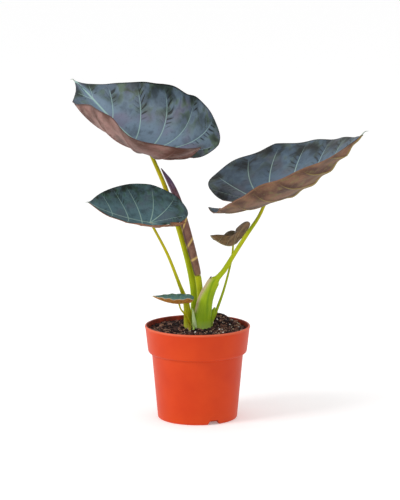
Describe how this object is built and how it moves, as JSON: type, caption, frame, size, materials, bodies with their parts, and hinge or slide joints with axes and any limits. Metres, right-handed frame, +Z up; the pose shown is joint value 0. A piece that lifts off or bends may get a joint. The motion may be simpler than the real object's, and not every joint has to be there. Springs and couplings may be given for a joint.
{
  "type": "potted regal shields alocasia",
  "caption": "Young potted alocasia with broad dark shield-shaped leaves on long stalks and a rolled new leaf, in a stepped terracotta-orange nursery pot.",
  "frame": {"origin": "centre of the pot's base, on the pot's axis and on the surface that it stands on", "axes": "+Z up along the pot's axis, -Y to the front that the picture shows, +X to its right"},
  "size_m": [0.2848, 0.1823, 0.3331],
  "materials": {
    "pot_plastic": "satin moulded polypropylene, terracotta orange",
    "bark_mix": "loose damp bark and peat with white perlite",
    "corm": "rough brown corm and roots",
    "leaf_blade": "satin blue-green upper side with pale veins, matt brown underside",
    "leaf_stalk": "smooth fresh yellow-green stalk",
    "rolled_blade": "satin maroon with cream veins"
  },
  "bodies": {
    "root": {"nursery_pot": "pot_plastic", "potting_mix": "bark_mix", "corm_with_roots": "corm", "blade_upper_left": "leaf_blade", "blade_right": "leaf_blade", "blade_middle_left": "leaf_blade", "blade_small_right": "leaf_blade", "blade_small_left": "leaf_blade", "petiole_upper_left": "leaf_stalk", "petiole_right": "leaf_stalk", "petiole_middle_left": "leaf_stalk", "petiole_small_right": "leaf_stalk", "petiole_small_left": "leaf_stalk", "petiole_rolled_leaf": "leaf_stalk", "rolled_leaf": "rolled_blade"}
  },
  "joints": []
}
